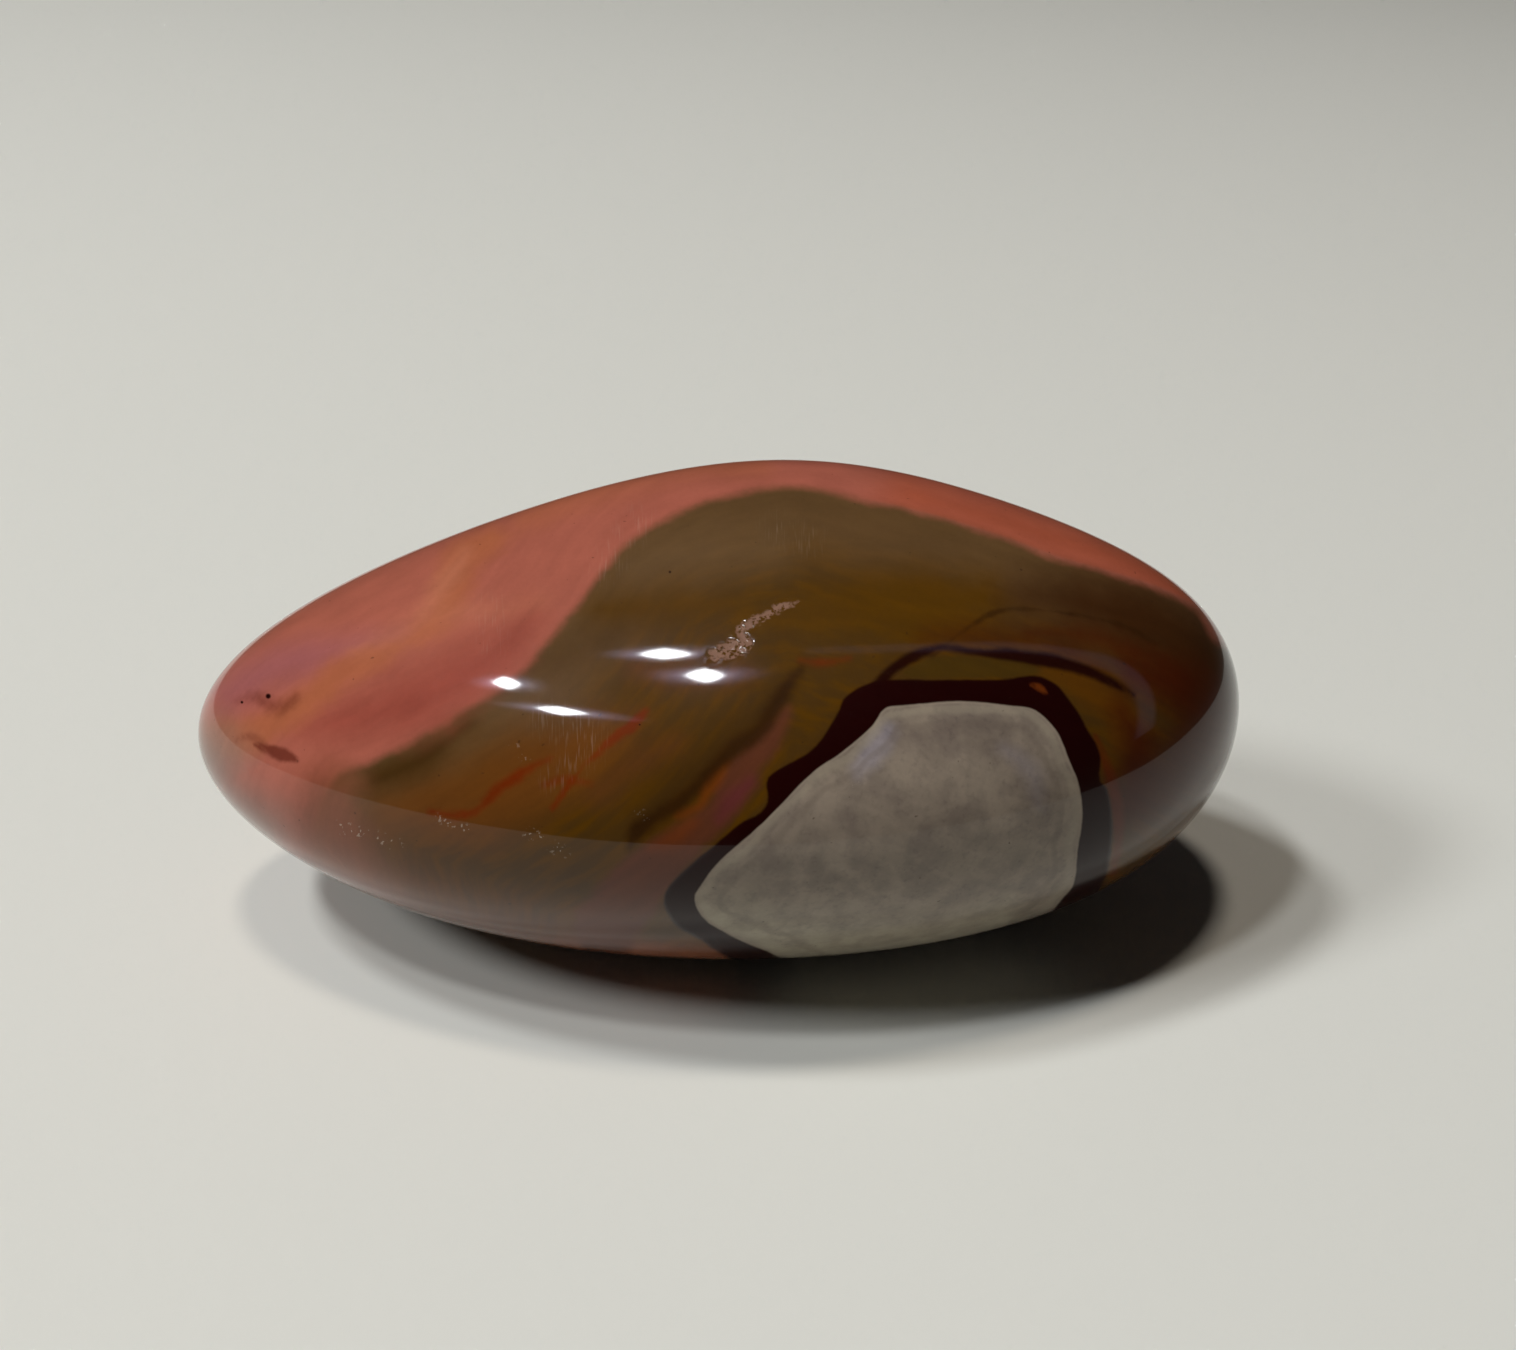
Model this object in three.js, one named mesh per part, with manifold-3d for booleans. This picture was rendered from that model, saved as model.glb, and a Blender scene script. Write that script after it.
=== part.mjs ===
// Jasper freeform: one polished, palm-sized piece of banded jasper.
//
// The stone is a long rounded pebble that was ground by hand on all sides into
// broad, soft-edged faces and then polished. It has no other pieces.
//
// Millimetres, +Z up, +X along the stone, -Y towards the face with the grey eye.
// The origin is on the surface that the stone rests on, under the middle of its box.

import * as THREE from "three";
import { mergeVertices } from "three/addons/utils/BufferGeometryUtils.js";
import Module from "manifold-3d";

// Driving dimensions, in millimetres and degrees

// Half-lengths of the rounded rough stone before any face was ground on it
const ROUGH_HALF = new THREE.Vector3(73, 37.5, 33);

// The ground faces. Each would lie flat at its depth from the middle of the stone.
// Turn is the face's compass direction from +X, and tilt is how far it looks up.
const GROUND_FACES = [
  { name: "crown", turn: -95, tilt: 75, depth: 26.5 },
  { name: "crown front", turn: -85, tilt: 65, depth: 19.5 },
  { name: "crown left", turn: -150, tilt: 70, depth: 27.5 },
  { name: "crown right", turn: -30, tilt: 70, depth: 36.5 },
  { name: "front left", turn: -110, tilt: 20, depth: 35 },
  { name: "front right", turn: -65, tilt: 20, depth: 32.5 },
  { name: "front low", turn: -85, tilt: -30, depth: 30 },
  { name: "belly", turn: -95, tilt: -85, depth: 30 },
  { name: "belly left", turn: -125, tilt: -50, depth: 38.5 },
  { name: "belly right", turn: -50, tilt: -45, depth: 40.5 },
  { name: "back low", turn: 90, tilt: -30, depth: 30 },
  { name: "back", turn: 110, tilt: 20, depth: 28.5 },
  { name: "back left", turn: 125, tilt: 25, depth: 41.5 },
  { name: "back right", turn: 65, tilt: 35, depth: 37 },
  { name: "left end", turn: 190, tilt: 10, depth: 66.5 },
  { name: "right end", turn: -15, tilt: 5, depth: 59 },
];

// How tight the polished bends between the faces are: low is round, high is crisp
const BEND_SHARPNESS = 6;

// Height of the sliver that is missing under the stone, where it rests flat
const REST_SLIVER = 0.6;

// Splits along each edge of the starting icosahedron
const SPLITS = 15;

// Overall colour of the polished stone from a distance
const STONE_COLOUR = 0x80523f;
const STONE_ROUGHNESS = 0.12;

/** Unit vector that looks along a turn and a tilt given in degrees. */
function facing(turn, tilt) {
  const polar = THREE.MathUtils.degToRad(90 - tilt);
  const around = THREE.MathUtils.degToRad(turn);
  return new THREE.Vector3(
    Math.sin(polar) * Math.cos(around),
    Math.sin(polar) * Math.sin(around),
    Math.cos(polar),
  );
}

/**
 * How far a point of the rough stone is drawn in towards the middle.
 * The faces act together as one smooth limit, so they blend without an edge.
 */
function grindingScale(point, faces) {
  let reach = 1;
  for (const face of faces) {
    const past = Math.max(point.dot(face.normal) / face.depth, 0);
    reach += past ** BEND_SHARPNESS;
  }
  return reach ** (-1 / BEND_SHARPNESS);
}

/** The ground stone as a closed mesh around its own middle. */
function groundStone() {
  const faces = GROUND_FACES.map(({ turn, tilt, depth }) => ({
    normal: facing(turn, tilt),
    depth,
  }));
  const sphere = new THREE.IcosahedronGeometry(1, SPLITS);
  sphere.deleteAttribute("normal");
  sphere.deleteAttribute("uv");
  const stone = mergeVertices(sphere);
  const position = stone.getAttribute("position");
  const point = new THREE.Vector3();
  for (let i = 0; i < position.count; i += 1) {
    point.fromBufferAttribute(position, i).multiply(ROUGH_HALF);
    point.multiplyScalar(grindingScale(point, faces));
    position.setXYZ(i, point.x, point.y, point.z);
  }
  return stone;
}

/** A closed three.js mesh as a solid that can be cut. */
function toSolid(wasm, geometry) {
  return new wasm.Manifold(new wasm.Mesh({
    numProp: 3,
    vertProperties: Float32Array.from(geometry.getAttribute("position").array),
    triVerts: Uint32Array.from(geometry.index.array),
  }));
}

/** A solid back as a three.js geometry. */
function toGeometry(solid) {
  const mesh = solid.getMesh();
  const geometry = new THREE.BufferGeometry();
  geometry.setAttribute("position", new THREE.BufferAttribute(mesh.vertProperties, 3));
  geometry.setIndex(new THREE.BufferAttribute(mesh.triVerts, 1));
  return geometry;
}

/** A block whose flat top takes the sliver off the underside of the stone. */
function restingBlock(stone) {
  stone.computeBoundingBox();
  const { min, max } = stone.boundingBox;
  const size = new THREE.Vector3().subVectors(max, min);
  const block = new THREE.BoxGeometry(size.x, size.y, size.z);
  block.deleteAttribute("normal");
  block.deleteAttribute("uv");
  block.translate(
    (min.x + max.x) / 2,
    (min.y + max.y) / 2,
    min.z + REST_SLIVER - size.z / 2,
  );
  return mergeVertices(block);
}

/** Moves a geometry so that the middle of its box's underside is the origin. */
function standOnOrigin(geometry) {
  geometry.computeBoundingBox();
  const { min, max } = geometry.boundingBox;
  geometry.translate(-(min.x + max.x) / 2, -(min.y + max.y) / 2, -min.z);
  return geometry;
}

const wasm = await Module();
wasm.setup();

const rounded = groundStone();
const rested = toSolid(wasm, rounded).subtract(toSolid(wasm, restingBlock(rounded)));

const material = new THREE.MeshStandardMaterial({
  color: STONE_COLOUR,
  roughness: STONE_ROUGHNESS,
  metalness: 0,
});
const stone = new THREE.Mesh(standOnOrigin(toGeometry(rested)), material);
stone.name = "jasper_freeform";

const part = new THREE.Group();
part.add(stone);

export default part;
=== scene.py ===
"""Jasper freeform: the look of one polished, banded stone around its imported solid."""

import logging
import math
from dataclasses import dataclass
from enum import Enum
from typing import Any, Callable, Sequence

import bpy
import numpy as np
from mathutils import Matrix, Vector


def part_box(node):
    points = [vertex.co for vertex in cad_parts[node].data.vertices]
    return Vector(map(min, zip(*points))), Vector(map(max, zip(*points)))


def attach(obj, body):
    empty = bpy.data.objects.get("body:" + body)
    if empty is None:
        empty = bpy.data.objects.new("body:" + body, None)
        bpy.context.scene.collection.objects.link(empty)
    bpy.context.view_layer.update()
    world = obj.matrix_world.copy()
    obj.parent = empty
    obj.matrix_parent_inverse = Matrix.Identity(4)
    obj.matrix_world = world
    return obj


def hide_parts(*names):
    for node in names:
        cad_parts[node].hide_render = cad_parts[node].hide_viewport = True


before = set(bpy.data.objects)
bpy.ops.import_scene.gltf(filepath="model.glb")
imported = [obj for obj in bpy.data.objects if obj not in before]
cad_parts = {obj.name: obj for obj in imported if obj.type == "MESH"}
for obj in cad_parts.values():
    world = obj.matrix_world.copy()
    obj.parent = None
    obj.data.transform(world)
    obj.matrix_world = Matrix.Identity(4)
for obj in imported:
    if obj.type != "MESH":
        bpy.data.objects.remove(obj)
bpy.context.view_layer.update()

LOG = logging.getLogger("jasper_freeform")
NODE = "jasper_freeform"
MM = 0.001
TINY = 1e-9
CORNERS = ((-1, -1), (1, -1), (1, 1), (-1, 1))
Point = tuple[float, float]
Place = tuple[float, float, float]
Colour = tuple[float, float, float, float]


# Picture plane of the photograph


def spin(angle: float) -> np.ndarray:
    """Returns the matrix of a turn about the third axis, by an angle in radians."""
    cos, sin = math.cos(angle), math.sin(angle)
    return np.array([[cos, sin, 0], [-sin, cos, 0], [0, 0, 1.0]])


@dataclass(frozen=True)
class PhotoView:
    """Where the photograph was taken from, and its picture plane through the stone.

    Lengths are in millimetres, the nearest thing seen in metres, and angles in degrees.
    The aim is the point of the part's frame that the photograph shows at the aim pixel.
    """

    image_width: int = 1516
    image_height: int = 1350
    focal_pixels: float = 1700.0
    aim_pixel: Point = (720.0, 710.0)
    aim: Place = (-1.1, 5.7, 23.4)
    elevation: float = 31.0
    roll: float = 2.4
    distance: float = 197.0
    sensor: float = 36.0
    clip_start: float = 0.01

    def aim_ray(self) -> np.ndarray:
        """Returns the way through the aim pixel, as right, up and forward of the camera."""
        right = (self.aim_pixel[0] - self.image_width / 2) / self.focal_pixels
        return np.array([right, (self.image_height / 2 - self.aim_pixel[1]) / self.focal_pixels, 1.0])

    def axes(self) -> np.ndarray:
        """Works out the camera's right, up and forward directions.

        Returns:
            A 3 by 3 array with one direction in each row.
        """
        ray = self.aim_ray()
        roll = spin(math.radians(self.roll))
        level_up = (ray @ roll)[1]
        sunk = math.sin(math.radians(self.elevation)) * np.linalg.norm(ray)
        pitch = math.asin(sunk / math.hypot(1, level_up)) + math.atan(level_up)
        level = np.array([[1.0, 0, 0], [0, math.sin(pitch), math.cos(pitch)],
                          [0, math.cos(pitch), -math.sin(pitch)]])
        tilted = roll @ level
        ahead = ray @ tilted
        return tilted @ spin(math.atan2(ahead[0], ahead[1]))

    def place(self) -> np.ndarray:
        """Returns the camera's place in millimetres."""
        ray = self.aim_ray() @ self.axes()
        return np.array(self.aim) - ray / np.linalg.norm(ray) * self.distance

    def picture(self, points: np.ndarray) -> np.ndarray:
        """Puts points of the stone on the picture plane.

        Args:
            points: Places in the part's frame, in millimetres.

        Returns:
            Right of, above and behind the aim point, in millimetres.
        """
        seen = (points - self.place()) @ self.axes().T
        flat = (seen[:, :2] / seen[:, 2:] - self.aim_ray()[:2]) * self.distance
        return np.column_stack([flat, seen[:, 2] - self.distance])

    def build_camera(self) -> None:
        """Makes the scene's camera, which sees the stone as the photograph does."""
        data = bpy.data.cameras.new("photo_camera")
        data.sensor_width = self.sensor
        data.lens = self.sensor * self.focal_pixels / self.image_width
        data.clip_start = self.clip_start
        camera = bpy.data.objects.new("photo_camera", data)
        right, up, forward = (Vector(row) for row in self.axes())
        camera.matrix_world = Matrix.Translation(Vector(self.place() * MM)) @ Matrix(
            (right, up, -forward)).transposed().to_4x4()
        bpy.context.scene.collection.objects.link(camera)
        bpy.context.scene.camera = camera


# Nodes, and arithmetic on their sockets


@dataclass(frozen=True)
class Grain:
    """Soft noise and what is made of it.

    Size is that of its lumps in millimetres, detail counts its finer layers and seed picks
    its slice. Cover is how much it does, and cut holds the values that count as 0 and 1.
    """

    size: float
    detail: float
    seed: float
    cover: float = 1.0
    cut: Point = (0.0, 1.0)


def operator(operation: str, swapped: bool = False) -> Callable[["Wire", Any], "Wire"]:
    """Makes an operator of wires.

    Args:
        operation: The Math node's operation.
        swapped: Whether the other value comes first.

    Returns:
        A method that takes a wire and another value, a number or a wire.
    """
    def method(wire: "Wire", other: Any) -> "Wire":
        """Draws the operation."""
        return wire.pen.math(operation, *((other, wire) if swapped else (wire, other)))
    return method


class Wire:
    """A node socket that takes part in Python arithmetic, for shader and geometry trees."""

    __add__ = operator("ADD")
    __radd__ = operator("ADD", True)
    __sub__ = operator("SUBTRACT")
    __rsub__ = operator("SUBTRACT", True)
    __mul__ = operator("MULTIPLY")
    __rmul__ = operator("MULTIPLY", True)
    __truediv__ = operator("DIVIDE")
    __rtruediv__ = operator("DIVIDE", True)
    __pow__ = operator("POWER")

    def __init__(self, pen: "Pen", socket: bpy.types.NodeSocket) -> None:
        """Keeps the pen that draws further nodes, and the socket."""
        self.pen = pen
        self.socket = socket


class Pen:
    """Draws nodes in one tree."""

    def __init__(self, tree: bpy.types.NodeTree) -> None:
        """Keeps the tree and empties it."""
        self.tree = tree
        tree.nodes.clear()

    def draw(self, kind: str, settings: dict[str, Any] | None = None,
             inputs: dict[str | int, Any] | None = None) -> bpy.types.Node:
        """Adds a node.

        Args:
            kind: The node's type name.
            settings: Attributes of the node, set before its sockets.
            inputs: A value or a wire for each socket, by name or by place.

        Returns:
            The node.
        """
        node = self.tree.nodes.new(kind)
        for name, value in (settings or {}).items():
            setattr(node, name, value)
        for key, value in (inputs or {}).items():
            if isinstance(value, Wire):
                self.tree.links.new(value.socket, node.inputs[key])
            else:
                node.inputs[key].default_value = value
        return node

    def wire(self, kind: str, settings: dict[str, Any] | None = None,
             inputs: dict[str | int, Any] | None = None, output: str | int = 0) -> Wire:
        """Adds a node and returns one of its outputs as a wire."""
        return Wire(self, self.draw(kind, settings, inputs).outputs[output])

    def math(self, operation: str, *values: Any) -> Wire:
        """Adds a Math node on numbers or wires."""
        return self.wire("ShaderNodeMath", {"operation": operation}, dict(enumerate(values)))

    def vector(self, operation: str, *values: Any) -> Wire:
        """Adds a Vector Math node on vectors or wires."""
        node = self.draw("ShaderNodeVectorMath", {"operation": operation}, dict(enumerate(values)))
        single = operation in ("DOT_PRODUCT", "LENGTH", "DISTANCE")
        return Wire(self, node.outputs["Value" if single else "Vector"])

    def scale(self, vector: Any, factor: Any) -> Wire:
        """Stretches a vector by one factor."""
        return self.wire("ShaderNodeVectorMath", {"operation": "SCALE"}, {"Vector": vector, "Scale": factor})

    def join(self, x: Any, y: Any, z: Any) -> Wire:
        """Makes a vector of three numbers."""
        return self.wire("ShaderNodeCombineXYZ", {}, {"X": x, "Y": y, "Z": z})

    def fade(self, value: Any, low: float, high: float) -> Wire:
        """Runs smoothly from 0 at the low value to 1 at the high value."""
        return self.wire("ShaderNodeMapRange", {"interpolation_type": "SMOOTHSTEP"},
                         {"Value": value, "From Min": low, "From Max": high})

    def mix(self, under: Any, over: Any, share: Any, blend: str = "MIX") -> Wire:
        """Lays one colour over another."""
        return self.wire("ShaderNodeMix", {"data_type": "RGBA", "blend_type": blend},
                         {"Factor": share, 6: under, 7: over}, 2)

    def parts(self, vector: Any) -> list[Wire]:
        """Takes a vector apart into its three numbers."""
        node = self.draw("ShaderNodeSeparateXYZ", {}, {"Vector": vector})
        return [Wire(self, part) for part in node.outputs]

    def stored(self, name: str, output: str = "Fac") -> Wire:
        """Reads a value, or with Vector a vector, that the stone's points keep under a name."""
        return self.wire("ShaderNodeAttribute", {"attribute_name": name}, output=output)

    def noise(self, place: Any, grain: Grain, output: str = "Fac") -> Wire:
        """Adds soft noise: one value from 0 to 1, or with Color three."""
        return self.wire("ShaderNodeTexNoise", {"noise_dimensions": "4D"}, {
            "Vector": place, "W": grain.seed, "Scale": 1 / grain.size, "Detail": grain.detail}, output)

    def flecks(self, place: Any, grain: Grain) -> Wire:
        """Adds soft noise that is cut, from 0 to its cover."""
        return self.fade(self.noise(place, grain), *grain.cut) * grain.cover

    def sway(self, value: Wire, grain: Grain) -> Wire:
        """Turns noise into a sway to both sides, by half its cover."""
        return (value - 0.5) * grain.cover

    def show(self, shader: Wire) -> None:
        """Makes a shader the surface of the material."""
        self.draw("ShaderNodeOutputMaterial", {}, {"Surface": shader})

    def glow(self, colour: Any, strength: float = 1.0) -> None:
        """Makes the surface of the material give light."""
        self.show(self.wire("ShaderNodeEmission", {}, {"Color": colour, "Strength": strength}))


def start_material(name: str) -> tuple[bpy.types.Material, Pen]:
    """Returns a new material and the pen that draws its nodes."""
    material = bpy.data.materials.new(name)
    material.use_nodes = True
    return material, Pen(material.node_tree)


def start_group(name: str, inputs: dict[str, str]) -> tuple[Pen, dict[str, Wire]]:
    """Starts a geometry tree.

    Args:
        name: The tree's name.
        inputs: The kind of each input's socket, by the input's name.

    Returns:
        The pen that draws its nodes, and a wire from each input.
    """
    tree = bpy.data.node_groups.new(name, "GeometryNodeTree")
    tree.interface.new_socket("Geometry", in_out="OUTPUT", socket_type="NodeSocketGeometry")
    for title, kind in inputs.items():
        tree.interface.new_socket(title, in_out="INPUT", socket_type=f"NodeSocket{kind}")
    pen = Pen(tree)
    given = pen.draw("NodeGroupInput").outputs
    return pen, {title: Wire(pen, given[title]) for title in inputs}


def finish_group(pen: Pen, geometry: Wire, finish: Wire) -> bpy.types.NodeTree:
    """Ends a geometry tree with real geometry in one material.

    Args:
        pen: The pen of the tree.
        geometry: What the tree has made.
        finish: The material.

    Returns:
        The tree.
    """
    whole = pen.wire("GeometryNodeRealizeInstances", {}, {"Geometry": geometry})
    dressed = pen.wire("GeometryNodeSetMaterial", {}, {"Geometry": whole, "Material": finish})
    pen.draw("NodeGroupOutput", {}, {"Geometry": dressed})
    return pen.tree


# Shape of the stone


@dataclass(frozen=True)
class GroundFace:
    """A broad face ground on the stone: where it looks, in degrees, and its depth in millimetres."""

    name: str
    turn: float
    tilt: float
    depth: float

    def direction(self) -> Vector:
        """Returns the unit vector that the face looks along."""
        turn, tilt = math.radians(self.turn), math.radians(self.tilt)
        return Vector((math.cos(tilt) * math.cos(turn), math.cos(tilt) * math.sin(turn), math.sin(tilt)))


GROUND_FACES = (
    GroundFace("crown", -95, 75, 26.5),
    GroundFace("crown front", -85, 65, 19.5),
    GroundFace("crown left", -150, 70, 27.5),
    GroundFace("crown right", -30, 70, 36.5),
    GroundFace("front left", -110, 20, 35),
    GroundFace("front right", -65, 20, 32.5),
    GroundFace("front low", -85, -30, 30),
    GroundFace("belly", -95, -85, 30),
    GroundFace("belly left", -125, -50, 38.5),
    GroundFace("belly right", -50, -45, 40.5),
    GroundFace("back low", 90, -30, 30),
    GroundFace("back", 110, 20, 28.5),
    GroundFace("back left", 125, 25, 41.5),
    GroundFace("back right", 65, 35, 37),
    GroundFace("left end", 190, 10, 66.5),
    GroundFace("right end", -15, 5, 59),
)


def run_tree(piece: bpy.types.Object, tree: bpy.types.NodeTree, values: dict[str, Any]) -> None:
    """Runs a geometry tree on a piece and keeps the result as its plain mesh.

    Args:
        piece: The object to work on.
        tree: The geometry tree.
        values: The tree's inputs by name.
    """
    modifier = piece.modifiers.new(tree.name, "NODES")
    modifier.node_group = tree
    for item in tree.interface.items_tree:
        if item.in_out == "INPUT" and item.name in values:
            modifier[item.identifier] = values[item.name]
    graph = bpy.context.evaluated_depsgraph_get()
    made = bpy.data.meshes.new_from_object(
        piece.evaluated_get(graph), preserve_all_data_layers=True, depsgraph=graph)
    piece.modifiers.remove(modifier)
    old, piece.data = piece.data, made
    bpy.data.meshes.remove(old)


@dataclass
class GroundStone:
    """The rounded rough stone with its faces ground on, as one skin.

    Lengths are in millimetres. The skin is denser round the rough vein, where small
    pits are carved later.
    """

    rough_half: Place = (73.0, 37.5, 33.0)
    faces: tuple[GroundFace, ...] = GROUND_FACES
    bend_sharpness: float = 6.0
    splits: tuple[int, int, int] = (172, 92, 92)
    focus: Place = (0.03, -0.5, 0.86)
    focus_width: float = 0.3
    focus_pull: float = 0.62
    extent_steps: int = 360

    def extent(self) -> tuple[np.ndarray, np.ndarray]:
        """Finds how far the stone reaches from its own middle, from the rule that shapes it.

        Returns:
            Its lowest and highest corner in millimetres.
        """
        turns = np.linspace(0, 2 * math.pi, 2 * self.extent_steps + 1)
        around, down = np.meshgrid(turns, np.linspace(0, math.pi, self.extent_steps + 1))
        sphere = np.stack([np.cos(around) * np.sin(down), np.sin(around) * np.sin(down), np.cos(down)], -1)
        rough = sphere.reshape(-1, 3) * np.array(self.rough_half)
        reach = np.ones(len(rough))
        for face in self.faces:
            past = np.maximum(rough @ np.array(face.direction()) / face.depth, 0)
            reach += past**self.bend_sharpness
        skin = rough * (reach ** (-1 / self.bend_sharpness))[:, None]
        return skin.min(0), skin.max(0)

    def tree(self) -> bpy.types.NodeTree:
        """Draws the geometry tree that shapes the stone.

        Returns:
            The tree, with its sizes as named inputs in metres.
        """
        sockets = {f"Splits {axis}": "Int" for axis in "XYZ"}
        sockets |= dict.fromkeys(("Rough Half", "Middle", "Focus"), "Vector")
        sockets |= dict.fromkeys(("Bend Sharpness", "Rest Height", "Focus Width", "Focus Pull"), "Float")
        for face in self.faces:
            sockets |= {f"{face.name} direction": "Vector", f"{face.name} depth": "Float"}
        pen, size = start_group("grind_stone", sockets | {"Finish": "Material"})
        cube = pen.wire("GeometryNodeMeshCube", {}, {
            "Size": (2, 2, 2), **{f"Vertices {axis}": size[f"Splits {axis}"] for axis in "XYZ"}})
        # A cube's points at the tangents of even angles lie evenly on a ball
        even = pen.vector("TANGENT", pen.scale(pen.wire("GeometryNodeInputPosition"), math.pi / 4))
        ray = pen.vector("NORMALIZE", even)
        away = pen.vector("SUBTRACT", ray, size["Focus"])
        spread = pen.vector("LENGTH", away) / size["Focus Width"]
        pull = size["Focus Pull"] * pen.math("EXPONENT", spread * spread * -1.0)
        drawn = pen.vector("NORMALIZE", pen.vector("SUBTRACT", ray, pen.scale(away, pull)))
        rough = pen.vector("MULTIPLY", drawn, size["Rough Half"])
        reach: Wire | float = 1.0
        for face in self.faces:
            ahead = pen.vector("DOT_PRODUCT", rough, size[f"{face.name} direction"])
            past = pen.math("MAXIMUM", ahead / size[f"{face.name} depth"], 0.0)
            reach = reach + past ** size["Bend Sharpness"]
        ground = pen.scale(rough, reach ** (-1 / size["Bend Sharpness"]))
        placed = pen.vector("ADD", ground, size["Middle"])
        x, y, z = pen.parts(placed)
        rested = pen.join(x, y, pen.math("MAXIMUM", z, size["Rest Height"]))
        skin = pen.wire("GeometryNodeSetPosition", {}, {"Geometry": cube, "Position": rested})
        smooth = pen.wire("GeometryNodeSetShadeSmooth", {}, {"Geometry": skin})
        return finish_group(pen, smooth, size["Finish"])

    def build(self, finish: bpy.types.Material) -> bpy.types.Object:
        """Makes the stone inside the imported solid's box.

        Args:
            finish: The material of the polished stone.

        Returns:
            The stone as one plain mesh object at the origin.
        """
        low, high = (np.array(corner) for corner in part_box(NODE))
        mine_low, mine_high = (corner * MM for corner in self.extent())
        middle = (low + high) / 2 - (mine_low + mine_high) / 2
        middle[2] = high[2] - mine_high[2]
        piece = bpy.data.objects.new("polished_stone", bpy.data.meshes.new("polished_stone"))
        bpy.context.scene.collection.objects.link(piece)
        values: dict[str, Any] = {
            "Rough Half": tuple(half * MM for half in self.rough_half), "Middle": tuple(middle),
            "Bend Sharpness": self.bend_sharpness, "Rest Height": low[2], "Finish": finish,
            "Focus": tuple(Vector(self.focus).normalized()), "Focus Width": self.focus_width,
            "Focus Pull": self.focus_pull}
        values |= {f"Splits {axis}": count for axis, count in zip("XYZ", self.splits)}
        for face in self.faces:
            values[f"{face.name} direction"] = tuple(face.direction())
            values[f"{face.name} depth"] = face.depth * MM
        run_tree(piece, self.tree(), values)
        return piece


# Markings on the picture plane


def smooth_line(points: Sequence[Sequence[float]], closed: bool, steps: int = 8) -> np.ndarray:
    """Runs a smooth line, a Catmull-Rom spline, through points.

    Args:
        points: The points, of any number of values each.
        closed: Whether the line returns to its start.
        steps: How many short pieces lie between two points.

    Returns:
        The line's points.
    """
    given = np.array(points, float)
    if closed:
        ring = np.vstack([given[-1:], given, given[:2]])
    else:
        ring = np.vstack([2 * given[:1] - given[1:2], given, 2 * given[-1:] - given[-2:-1]])
    share = np.linspace(0, 1, steps, endpoint=False)[:, None]
    line = []
    for before, here, there, after in zip(ring, ring[1:], ring[2:], ring[3:]):
        line.append(0.5 * (2 * here + (there - before) * share
                           + (2 * before - 5 * here + 4 * there - after) * share**2
                           + (3 * here - before - 3 * there + after) * share**3))
    if not closed:
        line.append(given[-1:])
    return np.vstack(line)


def nearest(line: np.ndarray, closed: bool, places: np.ndarray) -> tuple[np.ndarray, np.ndarray, np.ndarray]:
    """Finds the nearest point of a line for many places.

    Args:
        line: The line's points, with across and rise in its first two columns.
        closed: Whether the line returns to its start.
        places: Across and rise of each place.

    Returns:
        The distance, the number of the piece plus the share run of it, and whether a
        closed line goes round the place.
    """
    ends = np.roll(line, -1, 0) if closed else line[1:]
    best = np.full(len(places), np.inf)
    where = np.zeros(len(places))
    inside = np.zeros(len(places), bool)
    for number, (start, end) in enumerate(zip(line[:, :2], ends[:, :2])):
        step = end - start
        off = places - start
        share = np.clip(off @ step / max(step @ step, TINY), 0, 1)
        gap = np.hypot(off[:, 0] - share * step[0], off[:, 1] - share * step[1])
        closer = gap < best
        best[closer] = gap[closer]
        where[closer] = number + share[closer]
        if closed and start[1] != end[1]:
            crosses = (start[1] > places[:, 1]) != (end[1] > places[:, 1])
            inside ^= crosses & (off[:, 0] < step[0] * off[:, 1] / step[1])
    return best, where, inside


def depth_in(points: Sequence[Point | Place], places: np.ndarray) -> np.ndarray:
    """Works out how far inside a marking places lie.

    Args:
        points: Across and rise of each point of an area's outline, or of a streak's line,
            which also has half its width there.
        places: Across and rise of each place.

    Returns:
        The depth in millimetres, below zero outside the marking.
    """
    closed = len(points[0]) == 2
    line = smooth_line(points, closed)
    gap, where, inside = nearest(line, closed, places)
    if closed:
        return np.where(inside, gap, -gap)
    return np.interp(where, np.arange(len(line)), line[:, 2]) - gap


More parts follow.
